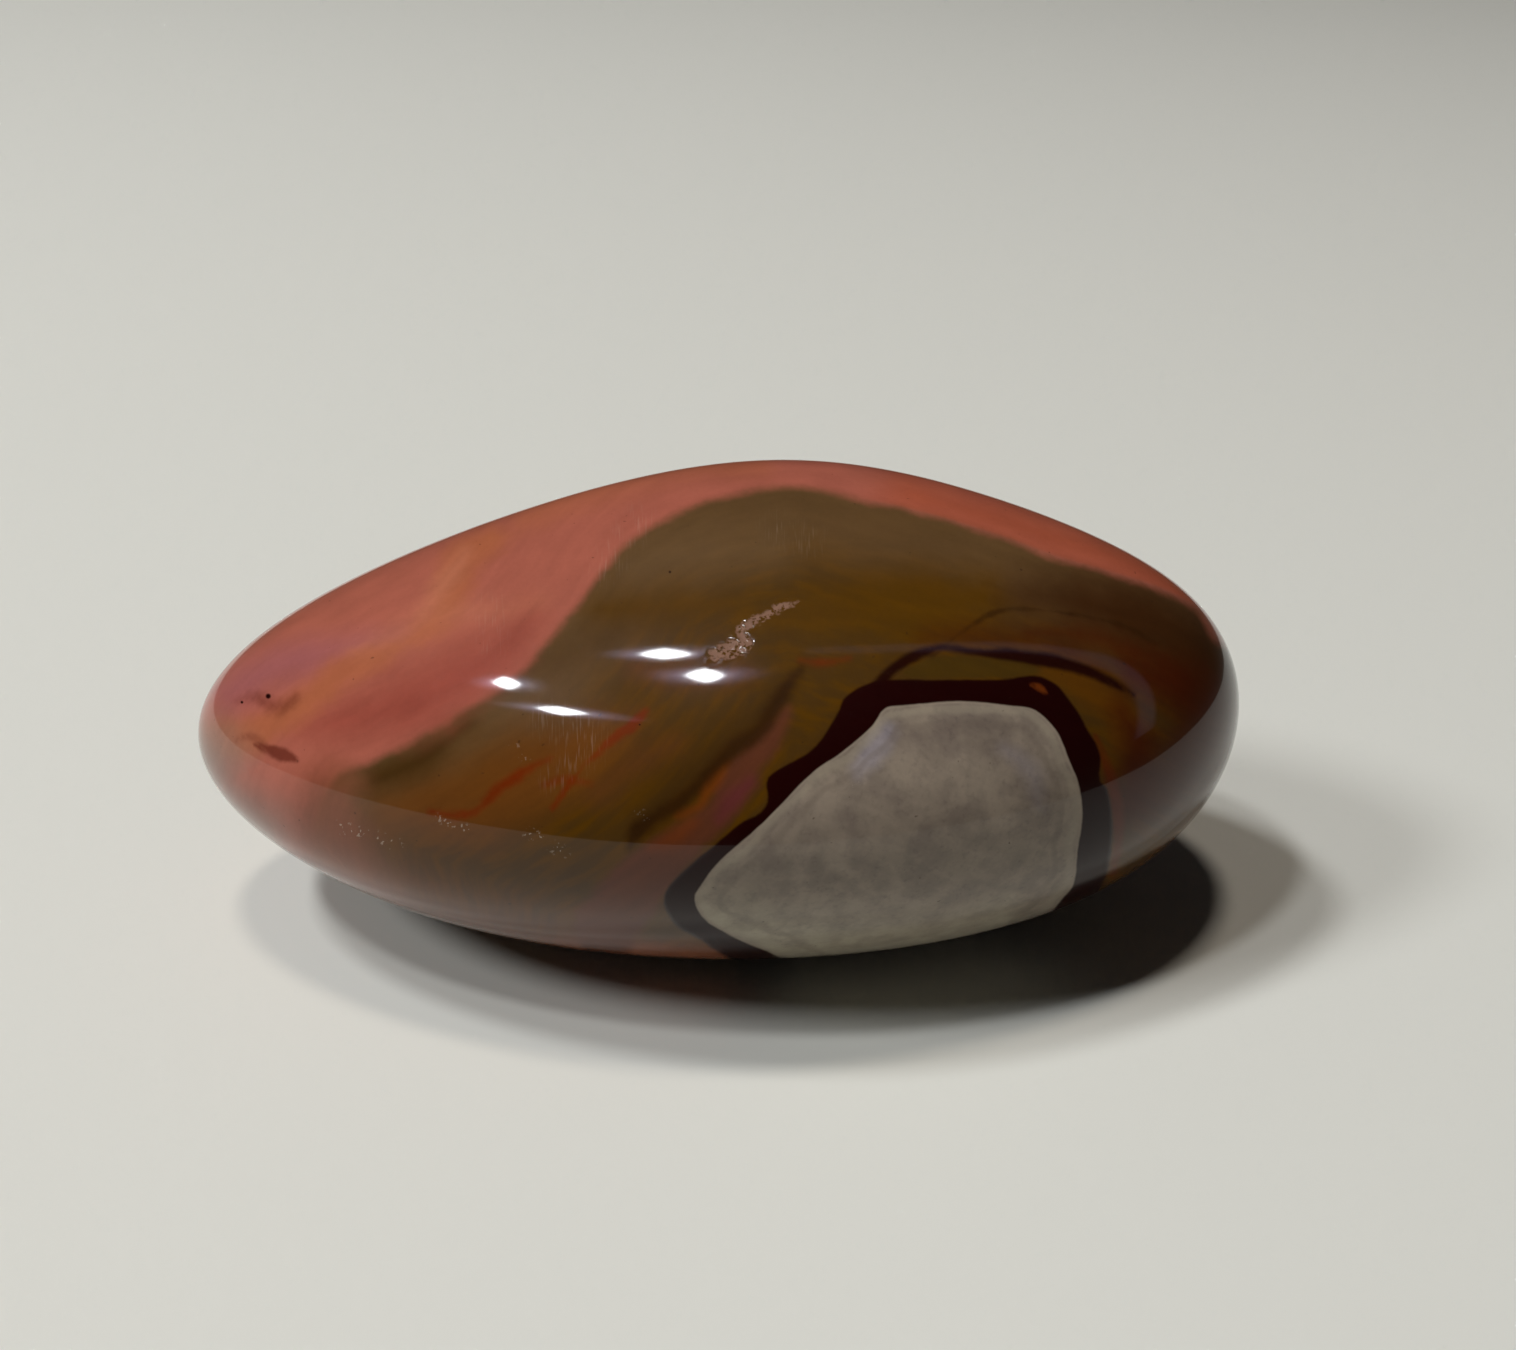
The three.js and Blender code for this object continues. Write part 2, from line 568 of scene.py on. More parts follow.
class Tone(Enum):
    """Colours of the polished stone and of the sheen, highlights and shade painted on it, as shares of red,
    green and blue light.
    """

    SALMON = (0.375, 0.108, 0.073)
    SALMON_DEEP = (0.255, 0.052, 0.036)
    ORANGE = (0.375, 0.112, 0.05)
    # Painted reflection: the pale mauve of a sheen on the upper left.
    MAUVE = (0.3, 0.095, 0.1)
    TIP = (0.215, 0.135, 0.105)
    DARK_RED = (0.13, 0.022, 0.012)
    OLIVE_GREY = (0.108, 0.058, 0.022)
    # Also the colour of a painted sheen along the upper left shoulder.
    PEACH = (0.48, 0.165, 0.095)
    RED_SHADE = (0.06, 0.009, 0.001)
    # Painted light: the lighter olive laid across the top of the stone.
    OLIVE_PALE = (0.145, 0.083, 0.036)
    OLIVE = (0.068, 0.031, 0.005)
    OCHRE = (0.085, 0.035, 0.0015)
    BROWN = (0.13, 0.043, 0.007)
    RED_ORANGE = (0.15, 0.015, 0.001)
    OLIVE_BLACK = (0.028, 0.01, 0.002)
    OLIVE_SHADE = (0.05, 0.022, 0.004)
    PINK = (0.105, 0.031, 0.015)
    RUST = (0.16, 0.034, 0.004)
    MAROON = (0.012, 0.001, 0.0008)
    LENS = (0.06, 0.031, 0.004)
    OCHRE_BROWN = (0.1, 0.035, 0.002)
    RED_BROWN = (0.056, 0.0085, 0.001)
    NIGHT_BROWN = (0.032, 0.008, 0.001)
    EYE = (0.275, 0.226, 0.178)
    RUST_RIM = (0.36, 0.075, 0.03)
    # Painted shade: the darker red laid along the lower left edge.
    LIMB = (0.14, 0.036, 0.008)
    LIMB_BORDER = (0.2, 0.068, 0.036)
    CHALK = (0.62, 0.52, 0.42)
    # Painted highlight: the pale lilac of mirrored light on the eye.
    EYE_LILAC = (0.3, 0.27, 0.3)
    DULL = (0.32, 0.092, 0.06)
    WARM = (0.115, 0.036, 0.012)
    RING_RED = (0.1, 0.016, 0.002)
    # The red of the bottom edge, made paler by a painted reflection of the lit floor.
    UNDER_RED = (0.35, 0.115, 0.065)
    PURPLE = (0.12, 0.022, 0.028)
    EYE_DARK = (0.155, 0.122, 0.1)
    EYE_PALE = (0.36, 0.315, 0.235)
    VEIN = (0.27, 0.155, 0.115)
    SPECK = (0.02, 0.01, 0.006)
    EYE_VEIL = (0.55, 0.53, 0.58)

    def colour(self) -> Colour:
        """Returns the colour as a socket takes it."""
        return (*self.value, 1)


@dataclass(frozen=True)
class StainOrLight:
    """One marking of the stone and how it is coloured; a few markings are painted sheen, highlights and
    shade, not the stone's own colour.

    Its points are an area's outline, or a streak's line with half its width at each
    point. Soft is half the width over which its border fades, and wobble is how far the
    border wanders. A marking that closes is only on the side that the photograph shows,
    and one within another shows only there.
    """

    name: str
    tone: Tone
    points: tuple[Point | Place, ...]
    soft: float = 0.4
    wobble: float = 0.4
    strength: float = 1.0
    closes: bool = False
    within: str = ""


SALMON_BORDER = (
    (-45, -22.5), (-46.5, -15), (-46, -11), (-44, -7.5), (-40, -6), (-34.5, -3), (-30, 0), (-26, 2),
    (-22, 5.5), (-18.5, 9.5), (-16, 12.5), (-12.5, 17.5), (-9, 20.5), (-4.5, 23), (0, 24.5), (4.5, 25.5),
    (9.5, 26), (16, 24.5), (24.5, 22.5), (32.5, 20), (39.5, 17.5), (46.5, 15.5), (51, 14), (55, 12),
    (61.5, 8),
)
OUTSIDE_SALMON = ((80, 30), (0, 60), (-90, 30), (-80, -40))
EYE_OUTLINE = (
    (21, 0.5), (28, 1), (33.5, 0.5), (36.5, 0), (39, -2.5), (40.5, -6), (41.5, -8.5), (42, -12),
    (41.5, -16), (41, -20), (39.5, -22), (37, -25), (30, -30.5), (16, -32.5), (9.5, -30), (5.5, -28),
    (2, -26.5), (-1.5, -24.5), (-3, -22), (-2, -20), (0, -17.5), (4, -14), (7.5, -10.5), (11, -7),
    (14, -5), (17.5, -2), (19, 0),
)
RING_OUTLINE = (
    (1.5, -29), (-2.5, -26.5), (-5, -25), (-6.5, -22.5), (-6, -20.5), (-3.5, -18), (-0.5, -15.5),
    (2.5, -13), (4.5, -12), (5.5, -10.5), (5.5, -8), (7.5, -6.5), (10, -5), (12, -3), (13.5, -0.5),
    (14.5, 1.5), (17, 3), (19.5, 3.5), (22.5, 3.5), (28, 3.5), (32.5, 3.5), (36.5, 4), (39, 3),
    (41, 0.5), (42.5, -2), (44, -5), (44, -8), (45, -9.5), (45.5, -13.5), (45, -18.5), (44, -21),
    (40.5, -29), (28, -34.5), (11.5, -33.5),
)
# The stone's markings, with a few patches of painted sheen, highlight and shade among them.
STAINS_AND_LIGHT = (
    StainOrLight("ochre_band", Tone.OCHRE, (
        (-14, 11.5, 1.5), (-8, 12, 2.5), (-1, 12.5, 1), (6, 11, 1), (12.5, 11.5, 2.5), (21, 12.5, 4),
        (30, 13, 3)), 3.0, 1.5, 0.9),
    # Painted light: a lighter olive patch across the top of the stone.
    StainOrLight("olive_crown", Tone.OLIVE_PALE, ((-8, 17, 2), (-2, 18, 2.5), (6, 18.5, 2)), 4.0, 1.5, 0.6),
    # Painted shade: darker olive towards the lower left of the olive ground.
    StainOrLight("olive_hollow", Tone.OLIVE_SHADE, (
        (-24, 3.5, 1), (-18, 6.5, 1.5), (-13, 8.5, 1.5)), 3.0, 1.0, 0.5),
    StainOrLight("olive_warm", Tone.WARM, ((-5, -4, 1), (-9.5, -6, 1.5), (-14, -9.5, 1.5)), 2.5, 1.0, 0.5),
    StainOrLight("dark_shoulder", Tone.NIGHT_BROWN, (
        (36, 13.5, 2), (44, 12, 4), (52, 9, 5), (58, 4, 5)), 4.5, 1.5, 0.85),
    StainOrLight("warm_glow", Tone.WARM, ((-10, 5, 0.8), (-3, 4, 1.2), (3, 4.5, 0.6)), 2.5, 1.0, 0.65),
    StainOrLight("loop_shade", Tone.RED_BROWN, (
        (24, 8.5, 0.6), (30, 8.5, 1), (38, 7.5, 1.2), (44, 5, 1)), 2.2, 0.8, 0.6),
    StainOrLight("brown_foot", Tone.BROWN, (
        (-15, -4, 3), (-22, -7.5, 5), (-30, -11, 5), (-38, -12, 3)), 4.0, 1.5, 0.9),
    StainOrLight("dark_limb", Tone.OLIVE_SHADE, (
        (-29, -1.5, 0.5), (-34, -5.5, 1.5), (-40, -8, 1.5)), 2.0, 1.0, 0.9),
    StainOrLight("salmon", Tone.SALMON, SALMON_BORDER + OUTSIDE_SALMON, 0.8, 0.6),
    # Painted shade: darker colour along the lower left edge, where the stone turns under.
    StainOrLight("salmon_veil", Tone.LIMB, (
        (-46, -9, 1), (-45, -15, 2), (-40, -21, 3), (-28, -26, 3), (-14, -28, 2)), 5.0, 1.5, 0.85),
    # Partly the stone's own red along the bottom edge, partly a painted reflection of the lit floor that
    # makes it paler.
    StainOrLight("under_red", Tone.UNDER_RED, (
        (-33.5, -25.2, 0.3), (-23, -27.8, 0.5), (-14, -28.3, 1.2), (-2.5, -29, 1.2),
        (4.5, -29.2, 0.6)), 1.7, 0.5, 0.8),
    StainOrLight("under_rust", Tone.RUST, (
        (38, -25, 0.8), (46, -21.5, 1), (52, -17, 1), (57, -12, 0.6)), 1.3, 0.6, 0.8),
    StainOrLight("salmon_fade", Tone.LIMB_BORDER, (
        (-43, -8.5, 1), (-44.5, -11, 2.5), (-45, -14, 3.5), (-44.5, -18, 4.5), (-43, -23, 5.5),
        (-40, -30, 6)), 3.2, 1.0, 0.95),
    StainOrLight("dull_shoulder", Tone.DULL, (
        (-58, 3, 1), (-52, 8.5, 1.5), (-43, 14, 2), (-34, 19, 1.5),
        (-22, 23, 1)), 4.0, 1.5, 0.8, within="salmon"),
    StainOrLight("salmon_depth", Tone.SALMON_DEEP, (
        (-48, -2, 1), (-38, 0, 3), (-30, 4, 3), (-25, 7.5, 2), (-22, 10.5, 1)), 3.5, 1.5, 0.8),
    # Painted reflection: a pale mauve sheen on the upper left of the salmon.
    StainOrLight("mauve_cloud", Tone.MAUVE, (
        (-57, 2, 2), (-50, 5.5, 2), (-43, 7, 1.5), (-37, 8.5, 0.5)), 2.5, 1.0, 0.8),
    StainOrLight("orange_flow", Tone.ORANGE, (
        (-59, -3.5, 2), (-54.5, -3, 2), (-50, -0.5, 1.5), (-46, 2.5, 1.5), (-43, 5, 1.5), (-37, 7.5, 1),
        (-33, 10.5, 1.5), (-31, 14, 2), (-30, 17, 2), (-26.5, 20, 1.5)), 1.4, 1.4, 0.85),
    StainOrLight("orange_rim", Tone.ORANGE, (
        (-23, 22, 1), (-18.5, 24, 1.5), (-11.5, 26, 1), (-3.5, 28, 1), (4.5, 28.5, 1)), 2.0, 1.0, 0.6),
    StainOrLight("tip", Tone.TIP, ((-60, -6, 4.5), (-59, -10, 3), (-54, -14, 3)), 4.0, 1.0, 0.85),
    StainOrLight("tip_mottle", Tone.DARK_RED, (
        (-55.75, 1, 0.2), (-53.75, 1.5, 0.6), (-52, 0.5, 0.8), (-50.5, 0.5, 0.6),
        (-49, 1.5, 0.2)), 0.9, 1.4, 0.6, closes=True),
    StainOrLight("red_dash", Tone.DARK_RED, (
        (-54, -4, 0.1), (-52.5, -4.5, 0.5), (-50.5, -5.25, 0.75),
        (-49, -5.75, 0.3)), 0.35, 0.5, 0.85, closes=True),
    StainOrLight("tip_line", Tone.DARK_RED, (
        (-56, -3.5, 0.1), (-54.5, -3, 0.3), (-52.5, -4.25, 0.2)), 0.5, 0.5, 0.5, closes=True),
    StainOrLight("flow_spur", Tone.PEACH, (
        (-34.5, 11, 0.6), (-32.5, 14, 1), (-31, 16, 0.9), (-29.5, 18, 0.4)), 1.5, 1.2, 0.75, closes=True),
    # Painted reflection: a pale peach sheen along the upper left shoulder.
    StainOrLight("pale_veil", Tone.PEACH, (
        (-42, 7, 0.5), (-36, 9.5, 1.2), (-30, 11.5, 1.2), (-25, 11.5, 0.8),
        (-21, 12.5, 0.5)), 2.2, 1.5, 0.4, closes=True),
    StainOrLight("red_glow", Tone.BROWN, (
        (-9, -1, 0.5), (-14, -5, 1), (-20, -7, 1.5), (-28, -10.5, 2)), 2.5, 1.0, 0.6, closes=True),
    StainOrLight("red_vein_upper", Tone.RED_ORANGE, (
        (-8.5, 0, 0.2), (-10.5, -2, 0.45), (-12.75, -3.5, 0.6), (-14, -4.75, 0.3), (-15.75, -6.5, 0.2),
        (-17.5, -8.75, 0.15), (-19.5, -11.5, 0.1)), 0.4, 0.9, 0.8, closes=True),
    StainOrLight("red_vein_lower", Tone.RED_ORANGE, (
        (-19.5, -5.5, 0.1), (-22.5, -7, 0.4), (-24.5, -8.25, 0.45), (-26, -9.5, 0.3), (-28, -11.5, 0.4),
        (-30.5, -12.25, 0.8), (-33.5, -11.75, 0.5)), 0.6, 0.9, 0.85, closes=True),
    StainOrLight("red_vein_side", Tone.RED_ORANGE, (
        (-15, -8.5, 0.1), (-18, -8, 0.3), (-20.5, -8.75, 0.1)), 0.5, 0.6, 0.5, closes=True),
    StainOrLight("red_fleck", Tone.RED_ORANGE, (
        (9.25, 5.75, 0.3), (12.25, 5.5, 0.4), (15, 6, 0.2)), 0.6, 0.5, 0.6, closes=True),
    StainOrLight("shade_by_dark", Tone.OLIVE_SHADE, (
        (7, 3, 1), (2, -2.5, 1.5), (-4, -8, 1.5), (-9, -12, 1)), 2.5, 1.0, 0.9),
    StainOrLight("pink_strip", Tone.PINK, (
        (7.8, 0.3, 0.4), (7, -1.5, 1), (5.6, -3.6, 1.5), (3.3, -6.2, 1.7), (1.6, -9, 1.8), (0, -11.8, 1.7),
        (-3, -14.4, 2), (-6.4, -17.2, 2.7), (-10, -21, 3.4), (-13, -25, 3.8)), 0.8, 0.8, 0.9),
    StainOrLight("purple_knot", Tone.PURPLE, (
        (3.5, -8.5, 0.6), (1.5, -10.5, 1), (0, -12.5, 0.6)), 1.2, 0.6, 0.7, closes=True),
    StainOrLight("red_knot", Tone.RUST, (
        (-3, -13, 0.5), (-5.5, -15, 0.9), (-8, -16, 0.4)), 1.2, 0.8, 0.6, closes=True),
    StainOrLight("orange_edge", Tone.RUST, (
        (0.75, -6, 0.2), (-0.25, -7.5, 0.8), (-1.5, -9.25, 0.7), (-2.25, -11, 0.4),
        (-4.75, -12.25, 0.6)), 0.6, 0.6, 0.65, closes=True),
    StainOrLight("dark_streak", Tone.OLIVE_BLACK, (
        (9.5, 5, 0.3), (8, 3, 0.7), (6.5, 0.5, 0.8), (4.5, -2.5, 0.9), (1.5, -4.5, 0.9), (-1.5, -7.5, 0.8),
        (-4.5, -10.5, 0.9), (-7.5, -12.5, 0.9), (-9.5, -14, 1), (-10.5, -16, 0.4)), 0.8, 0.7, 0.9),
    StainOrLight("rust_rim", Tone.RUST_RIM, (
        (22, 25, 2), (34, 21.5, 2), (46, 17.5, 2), (54, 14, 2)), 5.0, 1.0, 0.8, within="salmon"),
    StainOrLight("right_crack", Tone.OLIVE_BLACK, (
        (24.5, 6, 0.1), (28, 9, 0.15), (32.5, 11.5, 0.15), (38, 11.5, 0.1), (46, 10, 0.15),
        (51, 7.5, 0.1)), 0.3, 0.5, 0.7, closes=True),
    StainOrLight("right_band", Tone.RED_BROWN, (
        (36, 9, 0.6), (43, 8.5, 1), (50, 6, 1), (54, 4, 0.5)), 1.4, 1.0, 0.6),
    StainOrLight("red_shoulder", Tone.RED_SHADE, (
        (47.5, 5.5, 0.8), (51.5, 4, 1.5), (55.5, 1, 1.5)), 2.2, 1.8, 0.7, closes=True),
    StainOrLight("ochre_corner", Tone.OCHRE_BROWN, (
        (38, 4.2, 0.8), (42, 2.8, 1.6), (46, 0, 1.8), (47, -4, 1.5)), 1.4, 0.7, 0.9),
    StainOrLight("red_end_inner", Tone.RED_BROWN, ((46.5, 0, 1), (48.5, -4, 2), (48, -10, 2)), 2.0, 1.2, 0.9),
    StainOrLight("red_end", Tone.RED_BROWN, (
        (48, 4, 1.5), (53, 3, 3), (57, -1, 4), (54, -7, 4), (48, -11, 3)), 2.8, 1.2, 0.85),
    StainOrLight("dark_loop", Tone.MAROON, (
        (17.5, 2, 0.7), (19.75, 4.5, 0.7), (21.5, 5.75, 0.6), (23.75, 6.75, 0.5), (26, 7.25, 0.35),
        (29.5, 6.75, 0.5), (33.5, 6.25, 0.8), (37.75, 5.75, 0.9), (41.75, 4.75, 0.7), (45.25, 3.25, 0.5),
        (48, 1.75, 0.2)), 0.4, 0.35, 0.95),
    StainOrLight("lens", Tone.LENS, (
        (21.25, 4.5), (23.75, 5.75), (26.75, 6.25), (30.75, 6), (34.75, 5.5), (37, 4.75), (36, 4),
        (31.25, 3.75), (25.5, 3.75), (22.25, 3.75)), 0.3, 0.2, 0.9),
    StainOrLight("ring_fringe", Tone.RING_RED, (
        (43.5, -3, 0.2), (45, -7, 0.6), (46, -11, 0.7), (46.2, -15, 0.5),
        (45.5, -19, 0.3)), 0.5, 0.3, 0.9, closes=True),
    StainOrLight("ring", Tone.MAROON, RING_OUTLINE, 0.22, 0.22, 1.0, closes=True),
    StainOrLight("ring_crumb", Tone.RUST, (
        (36, 3, 0.2), (37, 2.6, 0.45), (37.8, 1.9, 0.2)), 0.25, 0.2, 0.7, closes=True),
    StainOrLight("eye", Tone.EYE, EYE_OUTLINE, 0.14, 0.14, 1.0, closes=True),
    StainOrLight("eye_foot", Tone.EYE_PALE, (
        (0, -24, 2), (8, -27, 3), (20, -28, 3), (34, -25, 2)), 3.0, 1.5, 1.0, closes=True, within="eye"),
    StainOrLight("eye_cloud", Tone.EYE_DARK, (
        (3, -22, 1.5), (10, -14, 2), (19, -12, 3), (28, -13, 2)), 4.0, 3.0, 0.3, closes=True, within="eye"),
    StainOrLight("eye_shade", Tone.EYE_DARK, (
        (12, -6, 1), (20, -3.5, 1.5), (28, -2.5, 2), (35, -5, 1.5),
        (38, -11, 1)), 3.0, 2.5, 0.7, closes=True, within="eye"),
    # Painted highlights: pale lilac patches of mirrored light on the eye.
    StainOrLight("eye_gleam", Tone.EYE_LILAC, (
        (19.5, -2.5, 0.8), (17.8, -4.8, 1.5), (16, -7, 0.9)), 1.2, 0.8, 0.75, closes=True, within="eye"),
    StainOrLight("eye_gleam_right", Tone.EYE_LILAC, (
        (33, -4.5, 0.4), (36, -7, 0.8), (37, -11, 0.4)), 1.3, 0.8, 0.35, closes=True, within="eye"),
)
VEIN = (
    (9, 12.5, 0.25), (7, 12, 0.5), (5.5, 11, 0.45), (3.75, 10.25, 0.6), (2.3, 9.4, 0.5),
    (2.6, 8.4, 0.5), (2.9, 7.6, 0.9), (1.5, 7.1, 1.1), (-0.3, 6.5, 0.8), (-1.6, 6.2, 0.3),
)
WEAR = {
    "vein": (VEIN,),
    "worn": (
        ((-26.5, 11.5, 1.2), (-26.5, 8, 1.2)), ((-9.5, 22, 1.2), (-13.5, 16.5, 1.2)),
        ((6.5, 21, 1), (10.5, 19.5, 1)), ((-20, -1, 1.5), (-15, -3.5, 1.5), (-19, -8, 1)),
    ),
    "nicked": (
        ((-44, -13.5, 0.6), (-37.5, -15.5, 0.6)), ((-32.5, -12.5, 0.4), (-29, -14, 0.4)),
        ((-22, -14.5, 0.7), (-18, -16.5, 0.5)), ((-9.5, -11.5, 0.2), (-8.5, -12.5, 0.2)),
        ((15.8, -8, 0.2), (15.4, -9.2, 0.2)), ((-24, -4, 0.2), (-22.5, -5.5, 0.3)),
    ),
}


@dataclass
class Markings:
    """Writes onto the stone how far each point lies inside each marking.

    Lengths are in millimetres. On the side that the photograph does not show, the bands
    run on through the stone and drift, and the markings that close end. A point counts as
    hidden in full once it faces away by the turned-away share.
    """

    view: PhotoView
    stains_and_light: tuple[StainOrLight, ...] = STAINS_AND_LIGHT
    closing_depth: float = 15.0
    drift: Point = (5.0, 7.0)
    turned_away: float = 0.8
    flow_blur: float = 3.0
    flow_falloff: int = 3
    flow_stride: int = 4

    def hidden_share(self, places: np.ndarray, normals: np.ndarray) -> np.ndarray:
        """Works out how far each point has turned away from the photograph.

        Args:
            places: Points of the skin in millimetres.
            normals: The skin's outward directions there.

        Returns:
            0 where the photograph shows the point, up to 1 far round the back.
        """
        towards = self.view.place() - places
        towards /= np.linalg.norm(towards, axis=1)[:, None]
        share = np.clip(-(normals * towards).sum(1) / self.turned_away, 0, 1)
        return share * share * (3 - 2 * share)

    def write(self, piece: bpy.types.Object) -> None:
        """Stores the markings on a piece as attributes of its points.

        Args:
            piece: The stone's skin.
        """
        mesh = piece.data
        count = len(mesh.vertices)
        places, normals = np.empty(count * 3), np.empty(count * 3)
        mesh.vertices.foreach_get("co", places)
        mesh.vertices.foreach_get("normal", normals)
        places, normals = places.reshape(-1, 3) / MM, normals.reshape(-1, 3)
        hidden = self.hidden_share(places, normals)
        self.store(mesh, "hidden", hidden)
        picture = self.view.picture(places)
        chart = picture[:, :2] + hidden[:, None] * np.array(self.drift)
        for stain_or_light in self.stains_and_light:
            depth = depth_in(stain_or_light.points, chart)
            if stain_or_light.closes:
                depth = depth - hidden * self.closing_depth
            self.store(mesh, stain_or_light.name, depth)
        for name, streaks in WEAR.items():
            depth = np.max([depth_in(streak, chart) for streak in streaks], axis=0)
            self.store(mesh, name, depth - hidden * self.closing_depth)
        self.store(mesh, "chart", np.column_stack([chart, picture[:, 2]]))
        self.store(mesh, "flow", np.column_stack([*self.flow(chart), picture[:, 2]]))

    def flow(self, chart: np.ndarray) -> tuple[np.ndarray, np.ndarray]:
        """Works out where points lie in the flow of the bands, which fine streaks follow.

        Args:
            chart: Across and rise of the points.

        Returns:
            How far along the salmon's border each point lies, and how far into the salmon.
        """
        border = smooth_line(SALMON_BORDER, False)
        run = np.concatenate([[0], np.cumsum(np.hypot(*np.diff(border, axis=0).T))])
        weight = np.zeros(len(chart))
        along = np.zeros(len(chart))
        for point, far in zip(border[::self.flow_stride], run[::self.flow_stride]):
            near = 1 / (((chart - point) ** 2).sum(1) + self.flow_blur**2) ** self.flow_falloff
            weight += near
            along += near * far
        _, _, inside = nearest(smooth_line(SALMON_BORDER + OUTSIDE_SALMON, True), True, chart)
        gap, _, _ = nearest(border, False, chart)
        return along / weight, np.where(inside, gap, -gap)

    @staticmethod
    def store(mesh: bpy.types.Mesh, name: str, values: np.ndarray) -> None:
        """Stores a value or a vector for each point of a mesh under a name."""
        kind, field = ("FLOAT", "value") if values.ndim == 1 else ("FLOAT_VECTOR", "vector")
        layer = mesh.attributes.new(name, kind, "POINT")
        layer.data.foreach_set(field, values.ravel().astype(np.float32))


# Finish


@dataclass(frozen=True)
class PolishedJasper:
    """The finish of the stone: a clear polish over cloudy colour. Sizes are in millimetres.

    A pair of values is where a share is 0 and where it is 1.
    """

    clear_roughness: float = 0.04
    clear_weight: float = 0.95
    clear_bending: float = 1.355
    under_roughness: float = 0.3
    under_bending: float = 1.54
    under_gloss: float = 0.05
    vein_matt: float = 0.85
    vein_roughness: float = 0.3
    vein_cover: float = 0.8
    vein_edge: Point = (-0.2, 0.25)
    ring_matt: float = 0.4
    inner_edge: Point = (0.0, 0.5)
    bump_strength: float = 0.3
    bump_height: float = 0.1
    nick_bump: float = 0.6
    nick_light: float = 0.35
    grey_edge: Point = (-12.0, -3.0)
    flow_stretch: Place = (0.14, 0.8, 0.14)
    streaks: Grain = Grain(1.0, 4.0, 0.0, 0.36, (0.4, 0.65))
    wander: Grain = Grain(4.5, 2.0, 1.0, 2.0)
    frizz: Grain = Grain(1.0, 3.0, 2.0, 0.8)
    plain_shade: float = 0.62
    clouds: Grain = Grain(7.0, 3.0, 3.0, 0.28)
    fine_grain: Grain = Grain(0.5, 2.0, 4.0, 0.12)
    specks: Grain = Grain(0.7, 1.0, 5.0, 0.5, (0.74, 0.8))
    blotches: Grain = Grain(2.6, 4.0, 11.0, 0.5, (0.36, 0.66))
    freckles: Grain = Grain(0.6, 3.0, 12.0, 0.28, (0.5, 0.75))
    eye_edge: Point = (0.0, 0.4)
    eye_wander: Grain = Grain(3.0, 2.0, 13.0, 1.6)
    eye_rim: tuple[Point, Point, float] = ((0.1, 0.5), (1.6, 0.8), 0.3)
    eye_line: tuple[Point, Point, float] = ((1.9, 2.4), (3.2, 2.6), 0.35)
    scratch_stretch: Place = (4.5, 0.4, 0.0)
    scratches: Grain = Grain(1.0, 1.0, 6.0, 0.3, (0.5, 0.75))
    scratch_area: Point = (-2.0, 1.5)
    dust: Grain = Grain(0.4, 1.0, 7.0, 1.1, (0.6, 0.66))
    dust_area: Point = (-0.5, 0.5)
    vein_wander: Grain = Grain(0.8, 3.0, 8.0, 1.6)
    crumbs: Grain = Grain(0.45, 2.0, 9.0, 1.0, (0.38, 0.52))
    vein_bumps: Grain = Grain(0.35, 3.0, 0.0)
    pinhole_edge: Point = (1.5, 0.6)
    pinhole_side: Point = (0.05, 0.01)
    pinholes: tuple[Place, ...] = (
        (-52.35, 1.6, 0.28), (-5.8, 16, 0.14), (-9.3, -1.7, 0.1), (-55.4, 0.9, 0.15))

    def build(self) -> bpy.types.Material:
        """Makes the material.

        Returns:
            The polished jasper, which reads the marking attributes of the stone.
        """
        material, pen = start_material("polished_jasper")
        place = pen.scale(pen.wire("ShaderNodeTexCoord", output="Object"), 1 / MM)
        flow = pen.stored("flow", "Vector")
        streaks = pen.noise(pen.vector("MULTIPLY", flow, self.flow_stretch), self.streaks)
        colour = self.ground(pen, flow, streaks)
        colour = self.lay_stains_and_light(pen, place, colour)
        colour = self.mottle(pen, place, streaks, colour)
        colour = self.cloud_eye(pen, place, colour)
        chart = pen.stored("chart", "Vector")
        flat = pen.vector("MULTIPLY", chart, (1, 1, 0))
        vein = self.vein(pen, place)
        colour = pen.mix(colour, Tone.VEIN.colour(), vein * self.vein_cover)
        ring = pen.fade(pen.stored("ring"), *self.inner_edge)
        nicks = self.scratch(pen, chart) + self.dust_nicks(pen, flat)
        colour = pen.mix(colour, Tone.CHALK.colour(), nicks * self.nick_light)
        colour = pen.mix(colour, Tone.MAROON.colour(), self.pits(pen, flat))
        height = pen.noise(place, self.vein_bumps) * vein - nicks * self.nick_bump
        bump = pen.wire("ShaderNodeBump", {}, {
            "Strength": self.bump_strength, "Distance": self.bump_height * MM, "Height": height})
        pen.show(pen.wire("ShaderNodeBsdfPrincipled", {}, {
            "Base Color": colour, "Roughness": self.under_roughness + self.vein_roughness * vein,
            "IOR": self.under_bending, "Specular IOR Level": self.under_gloss,
            "Coat Weight": self.clear_weight - vein * self.vein_matt - ring * self.ring_matt,
            "Coat Roughness": self.clear_roughness, "Coat IOR": self.clear_bending, "Normal": bump}))
        return material

    def ground(self, pen: Pen, flow: Wire, streaks: Wire) -> Wire:
        """Mixes the olive ground, streaked with ochre and greyer near the salmon."""
        colour = pen.mix(Tone.OLIVE.colour(), Tone.OCHRE.colour(), pen.fade(streaks, *self.streaks.cut))
        return pen.mix(colour, Tone.OLIVE_GREY.colour(), pen.fade(pen.parts(flow)[1], *self.grey_edge))

